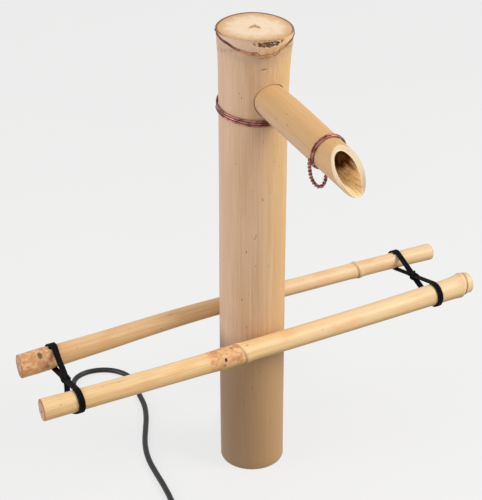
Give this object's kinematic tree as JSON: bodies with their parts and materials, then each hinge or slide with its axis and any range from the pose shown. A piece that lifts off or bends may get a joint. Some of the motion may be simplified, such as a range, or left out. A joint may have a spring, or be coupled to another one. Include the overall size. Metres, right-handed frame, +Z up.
{
  "type": "bamboo water spout",
  "caption": "Upright bamboo culm with a slanted bamboo spout, lashed cane support arms, copper wire bindings and a small submersible pump with its lead in the hollow foot.",
  "frame": {"origin": "on the culm's axis, on the flat base of the pump, level with the culm's foot", "axes": "+X along the support arms, -Y the way the spout points, +Z up along the culm"},
  "size_m": [0.478, 0.3805, 0.4568],
  "materials": {
    "culm_bamboo": "satin dry bamboo with fine streaks",
    "spout_bamboo": "satin dry bamboo, wet inside the mouth",
    "front_arm_bamboo": "satin pale cane with a mottled node",
    "rear_arm_bamboo": "satin golden cane with a mottled node",
    "copper_wire": "weathered copper wire",
    "copper_spout_wire": "weathered copper wire",
    "copper_loop_wire": "twisted copper wire",
    "lashing_cord": "waxed black cord",
    "right_lashing_cord": "waxed black cord",
    "riser_vinyl": "clear vinyl hose",
    "pump_housing_plastic": "black moulded plastic",
    "pump_cover_plastic": "black moulded plastic",
    "flow_slide_plastic": "dark grey moulded plastic",
    "nozzle_plastic": "black moulded plastic",
    "impeller_cover_plastic": "black moulded plastic",
    "impeller_plastic": "off-white plastic over a magnet",
    "ceramic_shaft": "polished white ceramic",
    "rubber_bush": "black rubber",
    "rear_rubber_bush": "black rubber",
    "gland_pvc": "black flexible PVC",
    "cord_pvc": "black PVC lead",
    "cord_coil_pvc": "black PVC lead, coiled",
    "strap_fabric": "black hook-and-loop strap",
    "plug_pvc": "black moulded PVC",
    "left_blade_brass": "bare brass blade",
    "right_blade_brass": "bare brass blade"
  },
  "bodies": {
    "pump": {"pump_housing": "pump_housing_plastic", "outlet_nozzle": "nozzle_plastic", "front_cover": "pump_cover_plastic", "impeller_cover": "impeller_cover_plastic", "front_bush": "rubber_bush", "rear_bush": "rear_rubber_bush", "rotor_shaft": "ceramic_shaft", "cord_gland": "gland_pvc", "pump_cord": "cord_pvc", "cord_coil": "cord_coil_pvc", "coil_tie": "strap_fabric", "plug_body": "plug_pvc", "plug_blade_left": "left_blade_brass", "plug_blade_right": "right_blade_brass"},
    "culm": {"culm": "culm_bamboo", "spout": "spout_bamboo", "culm_wire": "copper_wire", "spout_wire": "copper_spout_wire", "wire_loop": "copper_loop_wire", "riser_tube": "riser_vinyl"},
    "arms": {"front_arm": "front_arm_bamboo", "rear_arm": "rear_arm_bamboo", "left_tie": "lashing_cord", "right_tie": "right_lashing_cord"},
    "impeller": {"impeller": "impeller_plastic"},
    "flow_slide": {"flow_slide": "flow_slide_plastic"}
  },
  "joints": [
    {"name": "culm_turn", "type": "hinge", "parent": "pump", "child": "culm", "pos_m": [0, 0, 0], "axis": [0, 0, 1], "range_deg": [-17, 17]},
    {"name": "arms_slide", "type": "slide", "parent": "pump", "child": "arms", "axis": [0, 0, 1], "range_m": [-0.1, 0.17]},
    {"name": "impeller_spin", "type": "hinge", "parent": "pump", "child": "impeller", "pos_m": [0, 0, 0.0165], "axis": [0, 1, 0], "continuous": true},
    {"name": "flow_adjust", "type": "slide", "parent": "pump", "child": "flow_slide", "axis": [-1, 0, 0], "range_m": [0, 0.0085]}
  ]
}
